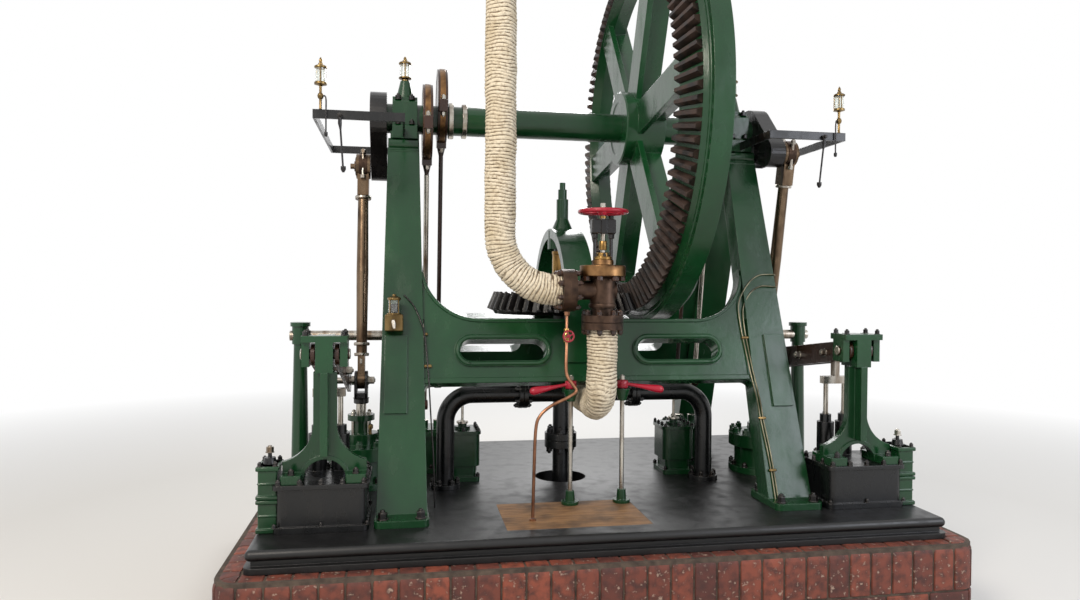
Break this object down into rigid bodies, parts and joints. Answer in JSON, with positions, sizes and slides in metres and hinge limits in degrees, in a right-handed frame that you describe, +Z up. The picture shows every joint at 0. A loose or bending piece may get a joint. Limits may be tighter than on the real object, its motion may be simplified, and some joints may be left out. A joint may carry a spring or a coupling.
{
  "type": "half-beam pumping engine",
  "caption": "Twin-cylinder overhead-crank pumping engine: green iron A-frames, cogged bevel wheel on an upright pump shaft, half-beams and brick plinth.",
  "frame": {"origin": "centre of the plinth's underside, below the middle of the crankshaft", "axes": "+X along the crankshaft to the right, -Y to the front, +Z up"},
  "size_m": [3.56, 2.42, 3.788],
  "materials": {
    "brick": "rough red brick",
    "black_iron": "black painted cast iron",
    "floor_timber": "worn boards",
    "green_paint": "gloss green paint on cast iron",
    "bright_steel": "polished steel",
    "brass": "worn brass",
    "bronze_valve": "tarnished bronze",
    "rope_lagging": "painted rope lagging",
    "cog_wood": "greased hornbeam",
    "red_paint": "red paint",
    "brown_iron": "oiled brown iron",
    "copper_pipe": "copper"
  },
  "bodies": {
    "engine": {"plinth": "brick", "bedplate": "black_iron", "floor_boards": "floor_timber", "front_frame": "green_paint", "rear_frame": "green_paint", "main_bearings": "green_paint", "crank_guards": "black_iron", "cylinders": "green_paint", "valve_chests": "green_paint", "pedestals": "green_paint", "pump_boxes": "green_paint", "rear_columns": "green_paint", "rocking_shafts": "bright_steel", "inner_chests": "green_paint", "pump_bridge": "green_paint", "stop_valve": "bronze_valve", "valve_bonnet": "brass", "steam_inlet": "rope_lagging", "steam_branch": "rope_lagging", "cross_pipe": "black_iron", "drain_pipe": "copper_pipe", "lubricators": "brass", "cock_stands": "green_paint"},
    "crankshaft": {"crankshaft": "green_paint", "cranks": "black_iron", "bevel_wheel": "green_paint", "wheel_cogs": "cog_wood", "eccentric_sheaves": "brown_iron"},
    "pump_shaft": {"pump_shaft": "black_iron", "bevel_pinion": "black_iron"},
    "valve_handwheel": {"valve_handwheel": "red_paint"},
    "left_outer_eccentric_rod": {"left_outer_eccentric_rod": "brown_iron"},
    "left_inner_eccentric_rod": {"left_inner_eccentric_rod": "brown_iron"},
    "right_outer_eccentric_rod": {"right_outer_eccentric_rod": "brown_iron"},
    "right_inner_eccentric_rod": {"right_inner_eccentric_rod": "brown_iron"},
    "left_crosshead": {"left_crosshead": "bright_steel"},
    "right_crosshead": {"right_crosshead": "bright_steel"},
    "left_connecting_rod": {"left_connecting_rod": "bright_steel"},
    "right_connecting_rod": {"right_connecting_rod": "bright_steel"},
    "left_beam": {"left_beam": "brown_iron"},
    "right_beam": {"right_beam": "brown_iron"},
    "left_pump_rod": {"left_pump_rod": "bright_steel"},
    "right_pump_rod": {"right_pump_rod": "bright_steel"},
    "left_cock_lever": {"left_cock_lever": "red_paint"},
    "right_cock_lever": {"right_cock_lever": "red_paint"}
  },
  "joints": [
    {"name": "crankshaft_turn", "type": "hinge", "parent": "engine", "child": "crankshaft", "pos_m": [0, 0, 2.63], "axis": [1, 0, 0], "continuous": true},
    {"name": "pump_shaft_turn", "type": "hinge", "parent": "engine", "child": "pump_shaft", "pos_m": [-0.068, 0, 1.05], "axis": [0, 0, 1], "continuous": true},
    {"name": "left_outer_strap_turn", "type": "hinge", "parent": "crankshaft", "child": "left_outer_eccentric_rod", "pos_m": [-0.868, -0.08159, 2.59703], "axis": [1, 0, 0], "continuous": true},
    {"name": "left_inner_strap_turn", "type": "hinge", "parent": "crankshaft", "child": "left_inner_eccentric_rod", "pos_m": [-0.783, 0.02426, 2.71459], "axis": [1, 0, 0], "continuous": true},
    {"name": "right_outer_strap_turn", "type": "hinge", "parent": "crankshaft", "child": "right_outer_eccentric_rod", "pos_m": [0.868, -0.03297, 2.71159], "axis": [1, 0, 0], "continuous": true},
    {"name": "right_inner_strap_turn", "type": "hinge", "parent": "crankshaft", "child": "right_inner_eccentric_rod", "pos_m": [0.783, 0.08459, 2.60574], "axis": [1, 0, 0], "continuous": true},
    {"name": "left_crosshead_slide", "type": "slide", "parent": "engine", "child": "left_crosshead", "axis": [0, 0, 1], "range_m": [-0.05574, 0.54426]},
    {"name": "left_connecting_rod_swing", "type": "hinge", "parent": "left_crosshead", "child": "left_connecting_rod", "pos_m": [-1.22963, 0, 1.13574], "axis": [1, 0, 0], "range_deg": [-6.58, 21.19]},
    {"name": "left_beam_swing", "type": "hinge", "parent": "engine", "child": "left_beam", "pos_m": [-1.352, -0.8, 1.355], "axis": [1, 0, 0], "range_deg": [-3.91, 37.78]},
    {"name": "left_pump_rod_slide", "type": "slide", "parent": "engine", "child": "left_pump_rod", "axis": [0, 0, 1], "range_m": [-0.01403, 0.13617]},
    {"name": "right_crosshead_slide", "type": "slide", "parent": "engine", "child": "right_crosshead", "axis": [0, 0, 1], "range_m": [-0.16719, 0.43281]},
    {"name": "right_connecting_rod_swing", "type": "hinge", "parent": "right_crosshead", "child": "right_connecting_rod", "pos_m": [1.22963, 0, 1.24719], "axis": [1, 0, 0], "range_deg": [-25.63, 2.14]},
    {"name": "right_beam_swing", "type": "hinge", "parent": "engine", "child": "right_beam", "pos_m": [1.352, -0.8, 1.355], "axis": [1, 0, 0], "range_deg": [-11.68, 30.16]},
    {"name": "right_pump_rod_slide", "type": "slide", "parent": "engine", "child": "right_pump_rod", "axis": [0, 0, 1], "range_m": [-0.0419, 0.1083]},
    {"name": "valve_handwheel_turn", "type": "hinge", "parent": "engine", "child": "valve_handwheel", "pos_m": [-0.012, -0.75, 1.85], "axis": [0, 0, 1], "continuous": true},
    {"name": "left_cock_lever_turn", "type": "hinge", "parent": "engine", "child": "left_cock_lever", "pos_m": [-0.138, -0.6, 0.85], "axis": [0, 0, 1], "range_deg": [0, 60]},
    {"name": "right_cock_lever_turn", "type": "hinge", "parent": "engine", "child": "right_cock_lever", "pos_m": [0.138, -0.6, 0.85], "axis": [0, 0, 1], "range_deg": [-60, 0]}
  ],
  "couplings": [
    {"joint": "pump_shaft_turn", "follows": "crankshaft_turn", "ratio": 2.5366},
    {"joint": "left_outer_strap_turn", "follows": "crankshaft_turn", "ratio": -1},
    {"joint": "left_inner_strap_turn", "follows": "crankshaft_turn", "ratio": -1},
    {"joint": "right_outer_strap_turn", "follows": "crankshaft_turn", "ratio": -1},
    {"joint": "right_inner_strap_turn", "follows": "crankshaft_turn", "ratio": -1},
    {"joint": "left_beam_swing", "follows": "left_crosshead_slide", "rad_per_m": 1.21},
    {"joint": "left_pump_rod_slide", "follows": "left_crosshead_slide", "ratio": 0.25},
    {"joint": "right_beam_swing", "follows": "right_crosshead_slide", "rad_per_m": 1.214},
    {"joint": "right_pump_rod_slide", "follows": "right_crosshead_slide", "ratio": 0.25}
  ]
}
